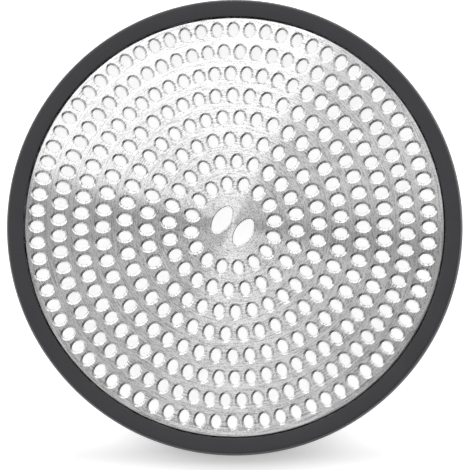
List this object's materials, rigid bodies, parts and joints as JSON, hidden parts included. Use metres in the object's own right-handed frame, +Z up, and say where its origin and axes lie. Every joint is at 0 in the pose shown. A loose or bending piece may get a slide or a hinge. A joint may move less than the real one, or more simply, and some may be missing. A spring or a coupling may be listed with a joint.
{
  "type": "sink strainer",
  "caption": "Round drain strainer: a shallow domed steel plate with rings of oval holes, gripped round its edge by a soft silicone rim that lies flat on the floor of a sink or shower.",
  "frame": {"origin": "centre of the rim's foot, on the surface that the strainer lies on", "axes": "+Z up, out of the drain and square to the floor; +X and +Y lie in the floor, and the spoke where every ring of holes has a gap lies 26.2 degrees clockwise from +X, seen from above"},
  "size_m": [0.115, 0.115, 0.0103],
  "materials": {
    "brushed_plate": "stainless steel sheet, brushed in circles round its centre",
    "charcoal_silicone": "soft moulded silicone, dark charcoal, satin matte"
  },
  "bodies": {
    "root": {"strainer_plate": "brushed_plate", "silicone_rim": "charcoal_silicone"}
  },
  "joints": []
}
